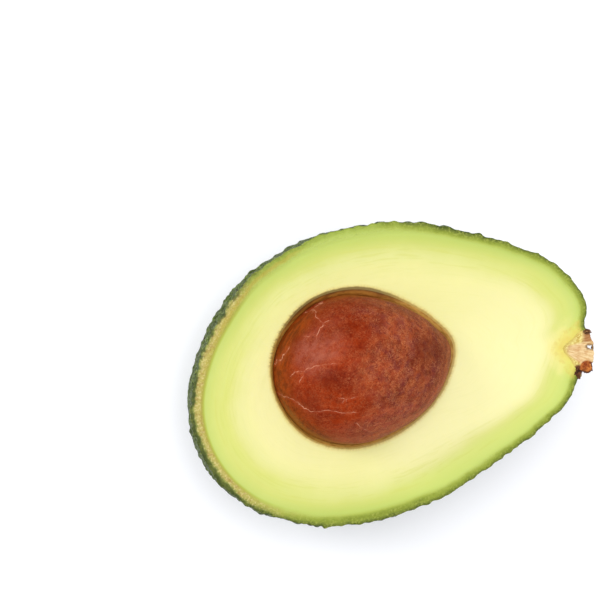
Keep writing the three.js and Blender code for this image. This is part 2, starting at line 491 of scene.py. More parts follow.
def finish_skin(skin):
    points = points_of(skin)
    through = np.empty(len(points), np.float32)
    skin.data.attributes["through"].data.foreach_get("value", through)
    keep_cut_values(skin, points)
    keep(
        skin,
        from_edge=through * skin_thickness(unit(points)),
        below_cut=-points[:, 2],
        blunt=smoothstep(round_from(points, 165), 85, 45),
    )
    on_cut = (faces_of(skin, "normal")[:, 2] > 0.3) & (faces_of(skin, "center")[:, 2] > -0.6)
    paint(skin, [rind_outside(), cut_face("rind_cut")], on_cut)


# ---- Flesh -------------------------------------------------------------------------

def make_flesh():
    back = add_bowl("cut_flesh", FLESH_BACK_ROWS, under_skin_radius, 0)
    hollow = add_bowl("hollow", HOLLOW_ROWS, hollow_radius, SEED_CENTRE, HOLLOW_CROWDING)
    edit(hollow, bpy.ops.mesh.flip_normals)
    flesh = join(back, hollow)
    bridge_rims(flesh, FACE_ROWS - 1)
    combine(flesh, add_stem_form("stem_cutter", STEM_GAP), "DIFFERENCE")
    finish_flesh(flesh)
    return flesh


def finish_flesh(flesh):
    """Settles the cut face's gentle waves, and stores what its material reads."""
    points = points_of(flesh)
    on_face = points[:, 2] > -1e-4
    from_edge = np.maximum(edge_depth(points), skin_thickness(unit(points)))
    off_seed = points - SEED_CENTRE
    from_rim = np.linalg.norm(off_seed, axis=1) - turned_radius(RIM_OUTLINE, unit(off_seed))
    waves = 0.10 * noise_at(points, 9.0, seed=4.0) + 0.03 * noise_at(points, 2.2, seed=6.0)
    inner = smoothstep(from_rim, 0, 1.2) * smoothstep(from_edge, 2, 3.5)
    edge_drop = 0.1 * (1 - smoothstep(from_rim, 0, 0.3))
    points[on_face, 2] += (waves * inner - edge_drop)[on_face]
    set_points(flesh, points)
    turn, seed_turn = turn_of(points), turn_of(off_seed)
    keep_cut_values(flesh, points)
    keep(
        flesh,
        from_edge=from_edge,
        from_rim=from_rim + 0.15 * noise_at(points, 1.4, seed=53.0),
        frayed=smoothstep(round_from(off_seed, 148), 30, 14),
        upper_side=smoothstep(round_from(off_seed, 98), 62, 30),
        hairs=np.stack((np.cos(seed_turn) * 21, np.sin(seed_turn) * 21, from_rim * 0.3), axis=1),
        grain=np.stack((np.cos(turn) * 2.5, np.sin(turn) * 2.5, from_edge), axis=1),
    )
    middles = faces_of(flesh, "center")
    off = middles - SEED_CENTRE
    in_hollow = np.linalg.norm(off, axis=1) < turned_radius(RIM_OUTLINE, unit(off)) + 0.02
    paint(flesh, [cut_face("ripe_flesh"), hollow_lining()], in_hollow & (middles[:, 2] < -0.1))


# ---- Seed --------------------------------------------------------------------------

def beside_line(flat, start, end):
    """Distance to a line, and the same with a sign for the side, past its ends too."""
    start, end = np.array(start, float), np.array(end, float)
    span = end - start
    off = flat - start
    share = np.clip((off @ span) / (span @ span), 0, 1)
    distance = np.linalg.norm(off - share[:, None] * span, axis=1)
    side = (off[:, 0] * span[1] - off[:, 1] * span[0]) / np.linalg.norm(span)
    return distance, side


def crack_places(points):
    """Distance to the nearest crack, and the signed distance across its line."""
    wide = np.stack([noise_at(points, 1.6, seed=seed) for seed in (11.0, 17.0)], axis=1)
    fine = np.stack([noise_at(points, 0.6, seed=seed) for seed in (12.0, 18.0)], axis=1)
    flat = points[:, :2] + wide * 0.3 + fine * 0.16
    nearest = np.full(len(points), FAR_AWAY)
    across = np.full(len(points), FAR_AWAY)
    for crack in SEED_CRACKS:
        for start, end in zip(crack, crack[1:]):
            distance, side = beside_line(flat, start, end)
            closer = distance < nearest
            nearest[closer] = distance[closer]
            across[closer] = np.copysign(distance, side)[closer]
    nearest[points[:, 2] < 0] = FAR_AWAY
    return nearest, across


def smudge_darkness(base, ragged):
    """The darkest mark over each point of the seed: dark smudges, and painted shade on its right
    side.
    """
    darkest = np.zeros(len(base))
    for centre, reach, dark in SMUDGES_AND_SHADE:
        off = np.linalg.norm((base - np.array(centre)) * (1, 1.3, 0.8), axis=1)
        mark = dark * smoothstep(off * (1 + 0.12 * ragged), reach, reach * 0.2)
        darkest = np.maximum(darkest, mark)
    return darkest


def make_seed():
    seed = start_piece("whole_seed", bpy.ops.mesh.primitive_cube_add, size=2)

    def divide():
        bpy.ops.mesh.subdivide(number_cuts=SEED_CUTS)

    edit(seed, divide)
    directions = unit(np.tan(points_of(seed) * math.pi / 4))
    base = directions * seed_radius(directions)[:, None]
    nearest, across = crack_places(base)
    groove = smoothstep(nearest, 0.4, 0.05) * CRACK_DEPTH
    relief = 0.22 * noise_at(base, 7.0, seed=1.0)
    relief += 0.05 * noise_at(base * (0.5, 1, 1), 1.6, seed=9.0)
    set_points(seed, base + directions * (relief - groove)[:, None] + SEED_CENTRE)
    keep(seed, crack_near=smoothstep(nearest, 0.8, 0.4), crack_across=across)
    finish_seed(seed, base)
    return seed


def finish_seed(seed, base):
    """Stores where the coat changes, from the even form's points round its centre."""
    x, y, z = base.T
    blunt = smoothstep(round_from(base, 178), 62, 36)
    low = smoothstep(z + 1.5 * noise_at(base, 4.0, seed=13.0), 10.5, 4.5)
    from_outline = outline_radius(SEED_OUTLINE, turn_of(base)) - np.hypot(x, y)
    patchy = x - 0.25 * y + 5 * noise_at(base, 8.0, seed=15.0)
    ragged = 3 * noise_at(base, 5.0, seed=19.0)
    strokes = np.stack((x * 0.6 + y * 0.8, y * 0.6 - x * 0.8, z), axis=1)
    keep(
        seed,
        margin=blunt * low,
        inset=np.where(z > 0, from_outline, 0),
        smooth_side=smoothstep(patchy, 3, -9),
        brush=strokes * (0.22, 1, 0.7),
        # painted sheen: a soft highlight painted round the sheen's centre
        bloom=smoothstep(np.linalg.norm(base - SHEEN_AT, axis=1) + ragged, 9, 1),
        # darker towards the top edge: partly the coat's deeper red, partly painted shade
        deep=smoothstep(y - 0.2 * x + ragged, 9, 14.5),
        golden=smoothstep(round_from(base, -30), 148, 125),
        # painted light: the seed's lower side lightened
        low_side=smoothstep(0.3 * x - y + ragged, 6, 14),
        # dark smudges, and painted shade over the seed's right side
        smudge=smudge_darkness(base, ragged),
    )
    paint(seed, [seed_coat()])


# ---- Stem stub ---------------------------------------------------------------------

def stem_frame(local):
    """Turns points from the stem's own axis (+X along it) to the fruit's frame."""
    c, s = math.cos(STEM_AXIS), math.sin(STEM_AXIS)
    x = local[:, 0] * c - local[:, 1] * s
    y = local[:, 0] * s + local[:, 1] * c
    return np.stack((x, y, local[:, 2]), axis=1) + STEM_NECK


def stem_place(points):
    """Turns points from the fruit's frame to the stem's own axis."""
    c, s = math.cos(STEM_AXIS), math.sin(STEM_AXIS)
    off = points - STEM_NECK
    along = off[:, 0] * c + off[:, 1] * s
    across = off[:, 1] * c - off[:, 0] * s
    return np.stack((along, across, off[:, 2]), axis=1)


def stem_profile_at(share):
    """Radius and distance along the axis, at a share of the way along the profile."""
    profile = np.array(STEM_PROFILE, float)
    steps = np.linalg.norm(np.diff(profile, axis=0), axis=1)
    stations = np.concatenate(([0], np.cumsum(steps))) / steps.sum()
    return np.interp(share, stations, profile[:, 0]), np.interp(share, stations, profile[:, 1])


def from_stem(points):
    """Distance from the stub's even form, in millimetres."""
    local = stem_place(points)
    across = np.hypot(local[:, 1], local[:, 2])
    nearest = np.full(len(points), FAR_AWAY)
    for radius, along in zip(*stem_profile_at(np.linspace(0, 1, 60))):
        nearest = np.minimum(nearest, np.hypot(across - radius, local[:, 0] - along))
    return nearest


def add_stem_form(name, margin=0.0):
    """The stub's even form, turned whole round its axis."""
    form = start_piece(
        name, bpy.ops.mesh.primitive_uv_sphere_add, segments=128, ring_count=96, radius=1
    )
    points = points_of(form)
    radius, along = stem_profile_at(np.arccos(np.clip(-points[:, 2], -1, 1)) / math.pi)
    turn = turn_of(points)
    radius = np.where(radius > 1e-3, radius + margin, 0)
    local = np.stack((along, radius * np.cos(turn), radius * np.sin(turn)), axis=1)
    set_points(form, stem_frame(local))
    return form


def add_flake(centre, size):
    """A lump of torn bark or wood, placed on the stem's own axis."""
    flake = start_piece(
        "flake", bpy.ops.mesh.primitive_ico_sphere_add, subdivisions=5, radius=1
    )
    points = points_of(flake)
    rough = 1 + 0.4 * noise_at(points, 0.6, seed=centre[1])
    rough += 0.25 * noise_at(points, 0.25, seed=centre[0])
    local = points * rough[:, None] * np.array(size) + np.array(centre)
    set_points(flake, stem_frame(local))
    return flake


def add_split_cutter():
    """A narrow wedge for the split between the wood and the bark, closed at the end."""
    wedge = start_piece("slot", bpy.ops.mesh.primitive_cube_add, size=2)
    corners = points_of(wedge)
    far = corners[:, 0] > 0
    down = corners[:, 2] * SPLIT_HALF_DEPTH
    along = np.where(far, SPLIT_TO[0], SPLIT_FROM[0]) - SPLIT_LEAN * down
    half = np.where(far, SPLIT_HALF_WIDTHS[1], SPLIT_HALF_WIDTHS[0])
    across = np.where(far, SPLIT_TO[1], SPLIT_FROM[1]) + half * corners[:, 1]
    set_points(wedge, stem_frame(np.stack((along, across, down), axis=1)))
    return wedge


def make_stem():
    stub = add_stem_form("half_stub")
    local = stem_place(points_of(stub))
    ragged = smoothstep(local[:, 0], 0.5, 3.5)
    rim = 1 + 0.10 * ragged * noise_at(local, 1.5, seed=31.0)
    local[:, 1:] *= rim[:, None]
    local[:, 0] += 0.3 * ragged * noise_at(local * (0, 1, 1), 0.9, seed=33.0)
    local[:, 0] -= 0.22 * ragged * np.maximum(local[:, 1], 0)
    local[local[:, 2] > -1e-4, 2] = 0
    set_points(stub, stem_frame(local))
    for centre, size in (NUB, TOP_BARK, LOW_BARK):
        combine(stub, add_flake(centre, size), "UNION")
    combine(stub, add_split_cutter(), "DIFFERENCE")
    finish_stem(stub)
    return stub


def near_lump(local, lump):
    """0 at a lump's middle, 1 at its edge."""
    centre, size = lump
    return np.linalg.norm((local - np.array(centre)) / np.array(size), axis=1)


def finish_stem(stub):
    """Roughens the bark, raises the wood's fibres, and stores where each of them is."""
    local = stem_place(points_of(stub))
    along, across, up = local.T
    on_face = up > -0.05
    fan_x, fan_y = along + 6.0, across  # the fibres fan out from 6 mm inside the fruit
    fan = np.arctan2(fan_y, fan_x)
    fibres = np.stack((fan * 26, np.hypot(fan_y, fan_x) * 0.35, up), axis=1)
    strands = noise_at(fibres, 1.0, seed=61.0)
    nub = smoothstep(near_lump(local, NUB), 1.5, 1.25)
    flat_nub = near_lump(local * (1, 1, 0), (np.array(NUB[0]) * (1, 1, 0), NUB[1]))
    nub_edge = smoothstep(flat_nub, 0.6, 0.9) * smoothstep(along - across, 6.4, 8.0)
    bark = np.maximum(
        smoothstep(near_lump(local, TOP_BARK), 1.3, 0.9),
        smoothstep(near_lump(local, LOW_BARK), 1.6, 1.25),
    )
    above = smoothstep(across - 0.3 * (along + 3.5), 0.1, 0.9)
    below = smoothstep(-1.0 - 0.42 * (along + 2.5) - across, 0.1, 0.9)
    split = np.abs(across - 1.15) + np.maximum(SPLIT_FROM[0] - along, 0)
    rough = 0.25 * noise_at(local, 1.0, seed=63.0) + 0.12 * noise_at(local, 0.4, seed=65.0)
    inside = from_stem(stem_frame(local))
    outward = unit(local - np.array((1.0, 0, 0)))
    moved = local + outward * np.where(on_face, 0, rough)[:, None]
    moved[:, 2] += np.where(on_face, 0.16 * strands * smoothstep(inside, 0, 0.7), 0)
    set_points(stub, stem_frame(moved))
    keep(
        stub,
        bark=np.where(on_face, bark, 1),
        nub=nub,
        # painted shade: a dark outline along the nub's far, lower edge
        nub_edge=nub * nub_edge,
        # painted shade in and along the split
        split=smoothstep(split, 1.0, 0.5) * (along > 1),
        pith=np.maximum(above, below) * smoothstep(along, 2.6, 0.6),
        outer=above * smoothstep(along, 0.8, 2.4),
        along=along,
        border=smoothstep(inside, 0.9, 0.1) * smoothstep(along, 1.6, 0.8) * on_face,
        fibres=fibres,
    )
    paint(stub, [stem_wood()])


# ---- Shading helpers ---------------------------------------------------------------

def colour(code):
    """A hex colour as linear red, green, blue and alpha."""
    parts = [int(code[i : i + 2], 16) / 255 for i in (1, 3, 5)]
    linear = [p / 12.92 if p <= 0.04045 else ((p + 0.055) / 1.055) ** 2.4 for p in parts]
    return (*linear, 1.0)


class Nodes:
    """A tree of shader nodes; a value given as a socket is linked, any other is set."""

    def __init__(self, tree):
        self.tree = tree

    def add(self, kind, inputs=None, **settings):
        node = self.tree.nodes.new("ShaderNode" + kind)
        for name, value in settings.items():
            setattr(node, name, value)
        for name, value in (inputs or {}).items():
            self.fill(node.inputs[name], value)
        return node

    def fill(self, socket, value):
        """Links a socket to another, or sets it; a hex code is taken as a colour."""
        if isinstance(value, bpy.types.NodeSocket):
            self.tree.links.new(value, socket)
        else:
            socket.default_value = colour(value) if isinstance(value, str) else value

    def calc(self, operation, *values):
        return self.add("Math", dict(enumerate(values)), operation=operation).outputs[0]

    def plus(self, first, second):
        return self.calc("ADD", first, second)

    def minus(self, first, second):
        return self.calc("SUBTRACT", first, second)

    def scaled(self, value, factor, offset):
        return self.calc("MULTIPLY_ADD", value, factor, offset)

    def times(self, *values):
        """The product of masks, values and numbers."""
        product = values[0]
        for value in values[1:]:
            product = self.calc("MULTIPLY", product, value)
        return product

    def off(self, value, middle):
        """How far a value is from a middle one, without its sign."""
        return self.calc("ABSOLUTE", self.minus(value, middle))

    def step(self, value, low, high, to_low=0.0, to_high=1.0):
        """A smooth step between two numbers; it runs down when low is above high."""
        if low > high:
            low, high, to_low, to_high = high, low, to_high, to_low
        return self.smooth_range(value, low, high, to_low, to_high)

    def smooth_range(self, value, low, high, to_low=0.0, to_high=1.0):
        ends = {"From Min": low, "From Max": high, "To Min": to_low, "To Max": to_high}
        inputs = {"Value": value, **ends}
        return self.add("MapRange", inputs, interpolation_type="SMOOTHSTEP").outputs[0]

    def band(self, value, start, full, fade, end):
        """1 from full to fade, falling smoothly to 0 at start and end."""
        return self.times(self.step(value, start, full), self.step(value, end, fade))

    def mix(self, share, first, second):
        return self.add("Mix", {0: share, 6: first, 7: second}, data_type="RGBA").outputs[2]

    def ramp(self, value, stops):
        """Colours at places in millimetres, blended in between."""
        last = stops[-1][0]
        node = self.add("ValToRGB", {"Fac": self.calc("DIVIDE", value, last)})
        elements = node.color_ramp.elements
        elements[1].position = 1.0
        elements[1].color = colour(stops[-1][1])
        elements[0].position = stops[0][0] / last
        elements[0].color = colour(stops[0][1])
        for place_at, code in stops[1:-1]:
            elements.new(place_at / last).color = colour(code)
        return node.outputs["Color"]

    def noise(self, vector, scale, detail=3.0, rough=0.55, distort=0.0):
        inputs = {
            "Vector": vector, "Scale": scale, "Detail": detail, "Roughness": rough,
            "Distortion": distort,
        }
        return self.add("TexNoise", inputs).outputs["Fac"]

    def wander(self, vector, scale, reach, detail=3.0, rough=0.55):
        """Noise spread evenly to both sides of zero."""
        return self.scaled(self.noise(vector, scale, detail, rough), reach, -reach / 2)

    def cells(self, vector, scale):
        """Distance in millimetres to the nearest of many scattered spots, and its lot."""
        inputs = {"Vector": vector, "Scale": scale, "Randomness": 1.0}
        spots = self.add("TexVoronoi", inputs).outputs
        lot = self.add("SeparateColor", {"Color": spots["Color"]}).outputs
        return self.calc("DIVIDE", spots["Distance"], scale), lot

    def mottle(self, vector, size, middle=0.5, softness=0.1):
        node = self.tree.nodes.new("ShaderNodeGroup")
        node.node_tree = bpy.data.node_groups.get("mottle") or mottle_group()
        given = {"Vector": vector, "Size": size, "Middle": middle, "Softness": softness}
        for name, value in given.items():
            self.fill(node.inputs[name], value)
        return node.outputs["Mask"]

    def points(self, *stretch):
        """Object coordinates in millimetres, squeezed along each axis."""
        place_of = self.add("TexCoord").outputs["Object"]
        scale = tuple(part / MM for part in stretch or (1, 1, 1))
        return self.add("Mapping", {"Vector": place_of, "Scale": scale}).outputs[0]

    def stored(self, name, output="Fac"):
        return self.add("Attribute", attribute_name=name).outputs[output]


class Paint(Nodes):
    """A new material, with the nodes that colour it; base is its colour so far."""

    def __init__(self, name):
        self.base = None
        self.material = bpy.data.materials.new(name)
        self.material.use_nodes = True
        super().__init__(self.material.node_tree)
        self.tree.nodes.clear()
        self.shader = self.add("BsdfPrincipled")
        self.add("OutputMaterial", {"Surface": self.shader.outputs[0]})

    def lay(self, code, *shares):
        """Lays a colour over the base, as strongly as its shares multiplied together."""
        self.base = self.mix(self.times(*shares), self.base, code)

    def coat(self, roughness, specular=None):
        """Gives the surface its base, its roughness and how much it shines."""
        self.fill(self.shader.inputs["Base Color"], self.base)
        self.fill(self.shader.inputs["Roughness"], roughness)
        if specular is not None:
            self.shader.inputs["Specular IOR Level"].default_value = specular

    def relief(self, height, depth, strength):
        """Gives the surface fine relief, as deep as the depth in millimetres."""
        inputs = {"Height": height, "Distance": depth * MM, "Strength": strength}
        self.fill(self.shader.inputs["Normal"], self.add("Bump", inputs).outputs[0])


def mottle_group():
    """Cloudy patches of one size with a sharpened edge: a mask from 0 to 1."""
    tree = bpy.data.node_groups.new("mottle", "ShaderNodeTree")
    tree.interface.new_socket("Vector", in_out="INPUT", socket_type="NodeSocketVector")
    for name in ("Size", "Middle", "Softness"):
        tree.interface.new_socket(name, in_out="INPUT", socket_type="NodeSocketFloat")
    tree.interface.new_socket("Mask", in_out="OUTPUT", socket_type="NodeSocketFloat")
    g = Nodes(tree)
    given = tree.nodes.new("NodeGroupInput").outputs
    scale = g.calc("DIVIDE", 1.0, given["Size"])
    cloud = g.noise(given["Vector"], scale, detail=4.0, rough=0.6)
    low = g.minus(given["Middle"], given["Softness"])
    high = g.plus(given["Middle"], given["Softness"])
    output = tree.nodes.new("NodeGroupOutput")
    g.fill(output.inputs["Mask"], g.smooth_range(cloud, low, high))
    return tree


# ---- Materials ---------------------------------------------------------------------

GREEN_EDGE = (  # colours going in from the skin's edge, in millimetres
    (0.0, "#3c4a0c"), (0.2, "#56631a"), (0.5, "#626e25"), (0.9, "#788528"), (1.3, "#869432"),
    (1.6, "#929f3c"), (2.0, "#a3b04f"), (2.5, "#abba5c"), (3.4, "#b1bf61"),
)
CORKY_EDGE = (
    (0.0, "#515a20"), (0.25, "#69722f"), (0.5, "#858840"), (0.8, "#a2994f"), (1.2, "#aea259"),
    (1.6, "#ada151"), (2.0, "#a99e49"), (2.4, "#a09c40"), (2.8, "#a3ac47"), (3.3, "#b0be5e"),
)
EVEN_FLESH = (  # lime turning to cream all the way in
    (3.0, "#adbb5d"), (4.0, "#b3be60"), (5.0, "#bac167"), (6.0, "#c2c672"), (7.0, "#c8ca7d"),
    (8.0, "#cccd84"), (9.0, "#cfcf87"), (10.0, "#d2d089"), (12.0, "#d5d28d"), (14.0, "#d8d491"),
)
BANDED_FLESH = (  # lime staying in a broad band, then turning quickly
    (3.0, "#b2be64"), (4.0, "#b8c269"), (5.0, "#bec56b"), (6.0, "#c2c66d"), (7.0, "#c3c86f"),
    (8.0, "#c4c86d"), (9.0, "#c8ca74"), (10.0, "#cccc7f"), (11.0, "#d0cf87"), (12.0, "#d3d18d"),
    (14.0, "#d8d492"), (16.0, "#d9d496"),
)


def cut_face(name):
    """The cut through rind and flesh: dark green, olive or corky tan, lime, cream."""
    p = Paint(name)
    points = p.points()
    from_edge, sooner, cork = (p.stored(kept) for kept in ("from_edge", "sooner", "cork"))
    ragged = p.plus(p.wander(points, 0.9, 1.0, 5.0, 0.75), sooner)
    edge = p.scaled(ragged, p.step(from_edge, 3.2, 1.2), from_edge)
    edge = p.minus(edge, p.times(p.band(from_edge, 0.9, 1.7, 2.5, 5.0), p.stored("late")))
    edge = p.calc("MAXIMUM", edge, 0.0)
    even_cut(p, points, from_edge, edge, cork)
    broken_rind(p, points, from_edge, edge, cork, sooner)
    fibres = p.noise(p.stored("grain", "Vector"), 1.5, 3.0, 0.6)
    in_band = p.times(p.step(from_edge, 3.0, 6.0), p.step(from_edge, 13.0, 8.0, 0.2))
    p.lay("#bcc058", p.step(fibres, 0.5, 0.68, 0.0, 0.3), in_band)
    by_stem(p, points, from_edge)
    by_seed(p, from_edge)
    p.coat(0.45, 0.2)
    p.shader.inputs["Subsurface Weight"].default_value = 0.15
    p.shader.inputs["Subsurface Radius"].default_value = (1.0, 0.8, 0.3)
    p.shader.inputs["Subsurface Scale"].default_value = 1.0 * MM
    rough = p.times(p.noise(points, 2.5, 4.0), p.step(from_edge, 3.0, 1.8))
    p.relief(p.scaled(fibres, 0.07, rough), 0.3, 0.7)
    return p.material


def even_cut(p, points, from_edge, edge, cork):
    """The colours by depth alone, before anything breaks them."""
    rind = p.mix(cork, p.ramp(edge, GREEN_EDGE), p.ramp(edge, CORKY_EDGE))
    cloudy = p.wander(points, 0.12, 2.4)
    depth = p.scaled(cloudy, p.step(from_edge, 3.0, 7.0), edge)
    ripe = p.mix(p.stored("banded"), p.ramp(depth, EVEN_FLESH), p.ramp(depth, BANDED_FLESH))
    p.base = p.mix(p.step(edge, 2.8, 3.4), rind, ripe)
    # Lighter, greener flesh towards the lower right: painted light, partly the flesh's own paler
    # tone.
    pale = p.stored("pale")
    near_rind = p.step(from_edge, 9.0, 5.5, 0.0, 0.45)
    p.lay("#c8d574", p.step(edge, 1.6, 3.2), near_rind, pale)
    p.lay("#e5e0a6", pale, p.step(from_edge, 6.0, 14.0, 0.0, 0.88))


def broken_rind(p, points, from_edge, edge, cork, sooner):
    """Grains, lines and flecks in the cut rind."""
    in_cork = p.times(p.band(edge, 0.15, 0.6, 1.7, 2.5), p.step(cork, 0.0, 0.8))
    p.lay("#d3c486", p.mottle(points, 0.55, 0.55, 0.06), in_cork, 0.55)
    p.lay("#937437", p.mottle(points, 1.0, 0.57, 0.06), in_cork, 0.5)
    broken = p.times(p.step(from_edge, 0.9, 0.4), p.mottle(points, 2.0, 0.47, 0.08))
    p.lay("#2c3a0c", broken, p.step(cork, 0.1, 0.8, 0.0, 0.75))
    soonest = p.step(sooner, 0.35, 0.8)
    p.lay("#9cb052", soonest, p.step(from_edge, 2.0, 1.2), 0.4)
    p.lay("#a59339", p.band(edge, 1.2, 1.6, 1.9, 2.4), p.stored("ochre"), 0.5)
    fleck = p.times(p.mottle(points, 0.6, 0.56, 0.07), p.step(edge, 1.7, 1.0))
    p.lay("#a3ab4c", fleck, p.step(cork, 0.0, 1.0, 0.45, 0.1))
    p.lay("#7b8a2a", p.step(from_edge, 0.35, 0.15), soonest, 0.8)


def by_stem(p, points, from_edge):
    """Creamier, then deeper yellow and streaky flesh close round the stem's root."""
    off = p.plus(p.stored("from_stem"), p.wander(points, 0.3, 3.0))
    in_flesh = p.step(from_edge, 0.7, 1.8)
    inner = p.step(from_edge, 3.0, 6.0)
    p.lay("#e6da94", p.step(off, 5.6, 3.2), inner, 0.45)
    p.lay("#d8ca62", p.step(off, 4.4, 0.2), in_flesh, 0.7)
    ring = p.times(p.band(off, 1.6, 2.2, 2.4, 3.0), in_flesh)
    p.lay("#c6a84c", ring, p.mottle(points, 1.4, 0.5, 0.08), 0.3)
    close = p.times(p.step(off, 2.6, 0.2), p.mottle(points, 1.6, 0.45, 0.2))
    p.lay("#c8a94c", close, in_flesh, 0.4)


def by_seed(p, from_edge):
    """Flesh stained by the seed's coat just outside the rim of its hollow, with painted shade on
    its upper side.
    """
    from_rim = p.stored("from_rim")
    on_flesh = p.step(from_edge, 2.4, 3.0)
    p.lay("#d0b660", p.step(from_rim, 1.2, 0.0), on_flesh, 0.5)
    # A brown stain at the rim, darker on the upper side as painted shade.
    brown = p.mix(p.stored("upper_side"), "#a8863e", "#5f451c")
    p.lay(brown, p.step(from_rim, 0.35, -0.05), on_flesh, 0.8)
    hair = p.step(p.noise(p.stored("hairs", "Vector"), 1.9, 2.0), 0.46, 0.62)
    share = p.scaled(p.stored("frayed"), 0.45, 0.18)
    p.lay("#7c653a", p.step(from_rim, 1.0, 0.0), hair, share, on_flesh)


def rind_outside():
    """Mid-green wrinkled rind, fine pale flecks, dark corky spots, painted shade and glints."""
    p = Paint("rind_outside")
    points = p.points()
    along = p.points(0.6, 1, 1)
    p.base = p.mix(p.mottle(points, 12.0, 0.5, 0.2), "#41520e", "#4c5e18")
    p.lay("#5a6c2c", p.mottle(points, 4.0, 0.55, 0.15), 0.6)
    p.lay("#2c3808", p.mottle(points, 1.8, 0.56, 0.12), 0.6)
    worms = p.off(p.noise(along, 0.5, 2.0, 0.5, 1.6), 0.5)
    # Painted shade in the wrinkles' grooves: darker in them, lighter away from them.
    p.lay("#232f06", p.step(worms, 0.045, 0.0, 0.0, 0.6))
    p.lay("#66783a", p.step(worms, 0.07, 0.13, 0.0, 0.3))
    # Painted shade in the hollows between the pebbles.
    p.lay("#27330a", p.step(p.stored("bump"), 0.2, 0.0, 0.0, 0.35))
    # Pale flecks: lenticels, and painted glints on the bumps.
    p.lay("#93a23c", flecks_and_glints(p, along))
    below, blunt = p.stored("below_cut"), p.stored("blunt")
    # Painted shade on the blunt end's wall, just below the cut.
    p.lay("#2a380a", p.step(below, 1.6, 0.3), blunt, 0.5)
    # Painted glints: pale streaks on the blunt end's wall, not a dry skin.
    dry = p.times(p.step(below, 9.0, 1.0), p.mottle(along, 0.6, 0.56, 0.05))
    p.lay("#88955c", dry, blunt, 0.55)
    spot = corky_spots(p, points)
    p.lay(p.mix(p.noise(points, 1.5), "#140a08", "#43221a"), spot)
    p.coat(p.scaled(p.noise(points, 0.7), 0.3, 0.3), 0.12)
    height = p.scaled(spot, -0.4, p.noise(along, 1.1, 4.0, 0.6, 0.8))
    p.relief(p.plus(height, p.step(worms, 0.0, 0.1)), 0.5, 0.8)
    return p.material


def flecks_and_glints(p, points):
    """Fine pale dots and dashes, about two millimetres apart: lenticels, and painted glints on
    the bumps.
    """
    off, lot = p.cells(points, 0.62)
    off = p.plus(off, p.wander(points, 1.6, 0.9, 2.0))
    return p.times(p.step(off, 0.42, 0.15), p.step(lot[0], 0.3, 0.8, 0.0, 0.85))


def corky_spots(p, points):
    """Small dark spots of uneven size, gathered in loose crowds."""
    off, lot = p.cells(points, 0.34)
    crowd = p.mottle(points, 13.0, 0.5, 0.12)
    chosen = p.step(p.scaled(crowd, 0.4, lot[0]), 0.8, 0.82)
    reach = p.scaled(lot[1], 0.6, 0.35)
    off = p.plus(off, p.wander(points, 1.2, 0.9))
    return p.times(chosen, p.step(p.minus(off, reach), 0.2, -0.15))


def hollow_lining():
    """The brown papery coat left on the hollow's shelf, streaked along the rim, with a painted
    shadow on its upper side.
    """
    p = Paint("hollow_lining")
    upper = p.stored("upper_side")
    streak = p.noise(p.points(0.3, 0.3, 4.0), 1.1, 4.0, 0.65)
    pick = p.step(streak, 0.38, 0.62)
    golden = p.mix(pick, "#916729", "#b3873f")
    russet = p.mix(pick, "#744414", "#925f22")
    p.base = p.mix(upper, golden, russet)
    # Painted shadow: a dark line under the rim on the upper side.
    p.lay("#4c2b0d", p.step(p.stored("from_rim"), -1.1, -0.3, 0.0, 0.9), upper)
    p.coat(0.5, 0.15)
    p.relief(streak, 0.1, 0.6)
    return p.material


def seed_coat():
    """Satin red-brown seed coat, fibrous and smudged, with pale dry cracks."""
    p = Paint("seed_coat")
    points = p.points()
    streaked = p.points(0.5, 0.9, 1)
    brush = p.stored("brush", "Vector")
    dusty = p.minus(1.0, p.stored("smooth_side"))
    deep = p.stored("deep")
    broad = p.step(p.noise(streaked, 0.16, 5.0, 0.62), 0.32, 0.68)
    p.base = p.mix(broad, "#701c01", "#8c2d0a")
    p.lay(p.mix(broad, "#6e2b1a", "#903f26"), dusty, 0.9)
    # Darker towards the top edge: partly the coat's deeper red, partly painted shade.
    p.lay("#6b1c00", deep, 0.75)
    # Painted light: the seed's lower side lightened.
    p.lay("#ab5239", p.stored("low_side"), 0.55)
    wine = p.mottle(streaked, 4.0, 0.51, 0.08)
    p.lay("#5a1810", wine, p.scaled(dusty, 0.33, 0.2))
    p.lay("#b05a2c", p.mottle(brush, 3.0, 0.52, 0.1), dusty, 0.35)
    strokes = p.noise(brush, 1.6, 4.0, 0.65, 0.4)
    p.lay("#5a1205", p.step(strokes, 0.5, 0.3, 0.0, 0.5))
    p.lay("#a8441c", p.step(strokes, 0.54, 0.72), p.scaled(dusty, 0.2, 0.15))
    fine = p.noise(points, 1.3, 4.0, 0.7, 1.4)
    p.lay("#4d1004", p.step(fine, 0.47, 0.37), p.scaled(dusty, 0.25, 0.38))
    p.lay("#b0562d", p.step(fine, 0.53, 0.62), p.scaled(dusty, 0.08, 0.14))
    p.lay("#6a3032", p.mottle(points, 2.4, 0.55, 0.1), dusty, 0.4)
    p.lay("#cb8255", seed_threads(p, points, dusty))
    # Painted sheen: a soft pinkish highlight on the coat's upper left, laid in streaks.
    sheen_streaks = p.step(p.noise(streaked, 0.5, 5.0, 0.75), 0.35, 0.65, 0.1, 0.5)
    p.lay("#a5604c", p.stored("bloom"), sheen_streaks)
    # Dark smudges, and painted shade over the seed's right side.
    p.lay("#4f0e03", p.stored("smudge"))
    seed_edge(p, points, brush, deep)
    line = seed_cracks(p, points)
    p.coat(0.42, 0.03)
    p.relief(p.scaled(line, -0.5, fine), 0.12, 0.6)
    return p.material


